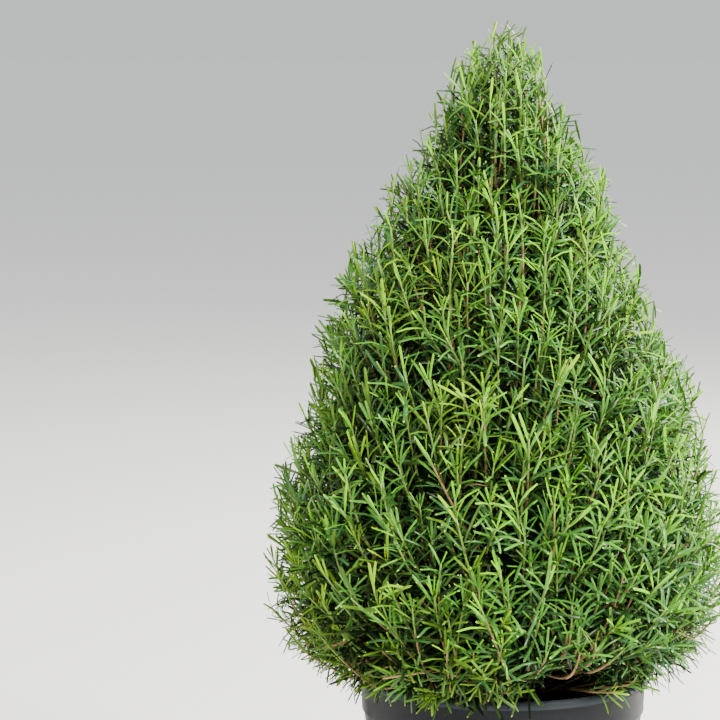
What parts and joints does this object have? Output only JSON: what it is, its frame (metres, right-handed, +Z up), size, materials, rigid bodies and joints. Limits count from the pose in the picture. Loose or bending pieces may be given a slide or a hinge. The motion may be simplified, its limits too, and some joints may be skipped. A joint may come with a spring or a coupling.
{
  "type": "potted rosemary cone topiary",
  "caption": "Rosemary bush clipped to a dense upright cone of needle-leaved shoots, growing in a round black nursery pot with a rolled rim.",
  "frame": {"origin": "centre of the pot's flat underside, on the ground", "axes": "+Z up along the pot's axis, -Y towards the front that the picture shows, +X to its right; the crown is a little fuller on -X"},
  "size_m": [0.4459, 0.4437, 0.851],
  "materials": {
    "pot_plastic": "injection-moulded black polypropylene, satin, dusty and scuffed",
    "potting_mix": "moist dark peat and composted bark with small chips",
    "bark": "grey-brown stringy bark, furrowed on the trunk, smoother and paler on the twigs",
    "foliage": "leathery narrow needles, satin green above and whitish beneath, young tips yellow-green"
  },
  "bodies": {
    "root": {"pot": "pot_plastic", "potting_mix": "potting_mix", "trunk": "bark", "skirt_bough_1": "bark", "skirt_bough_2": "bark", "skirt_bough_3": "bark", "skirt_bough_4": "bark", "skirt_bough_5": "bark", "skirt_bough_6": "bark", "belly_bough_1": "bark", "belly_bough_2": "bark", "belly_bough_3": "bark", "belly_bough_4": "bark", "belly_bough_5": "bark", "belly_bough_6": "bark", "middle_bough_1": "bark", "middle_bough_2": "bark", "middle_bough_3": "bark", "middle_bough_4": "bark", "middle_bough_5": "bark", "upper_bough_1": "bark", "upper_bough_2": "bark", "upper_bough_3": "bark", "upper_bough_4": "bark", "skirt_foliage_1": "foliage", "skirt_foliage_2": "foliage", "skirt_foliage_3": "foliage", "skirt_foliage_4": "foliage", "skirt_foliage_5": "foliage", "skirt_foliage_6": "foliage", "belly_foliage_1": "foliage", "belly_foliage_2": "foliage", "belly_foliage_3": "foliage", "belly_foliage_4": "foliage", "belly_foliage_5": "foliage", "belly_foliage_6": "foliage", "middle_foliage_1": "foliage", "middle_foliage_2": "foliage", "middle_foliage_3": "foliage", "middle_foliage_4": "foliage", "middle_foliage_5": "foliage", "upper_foliage_1": "foliage", "upper_foliage_2": "foliage", "upper_foliage_3": "foliage", "upper_foliage_4": "foliage", "tip_foliage": "foliage"}
  },
  "joints": []
}
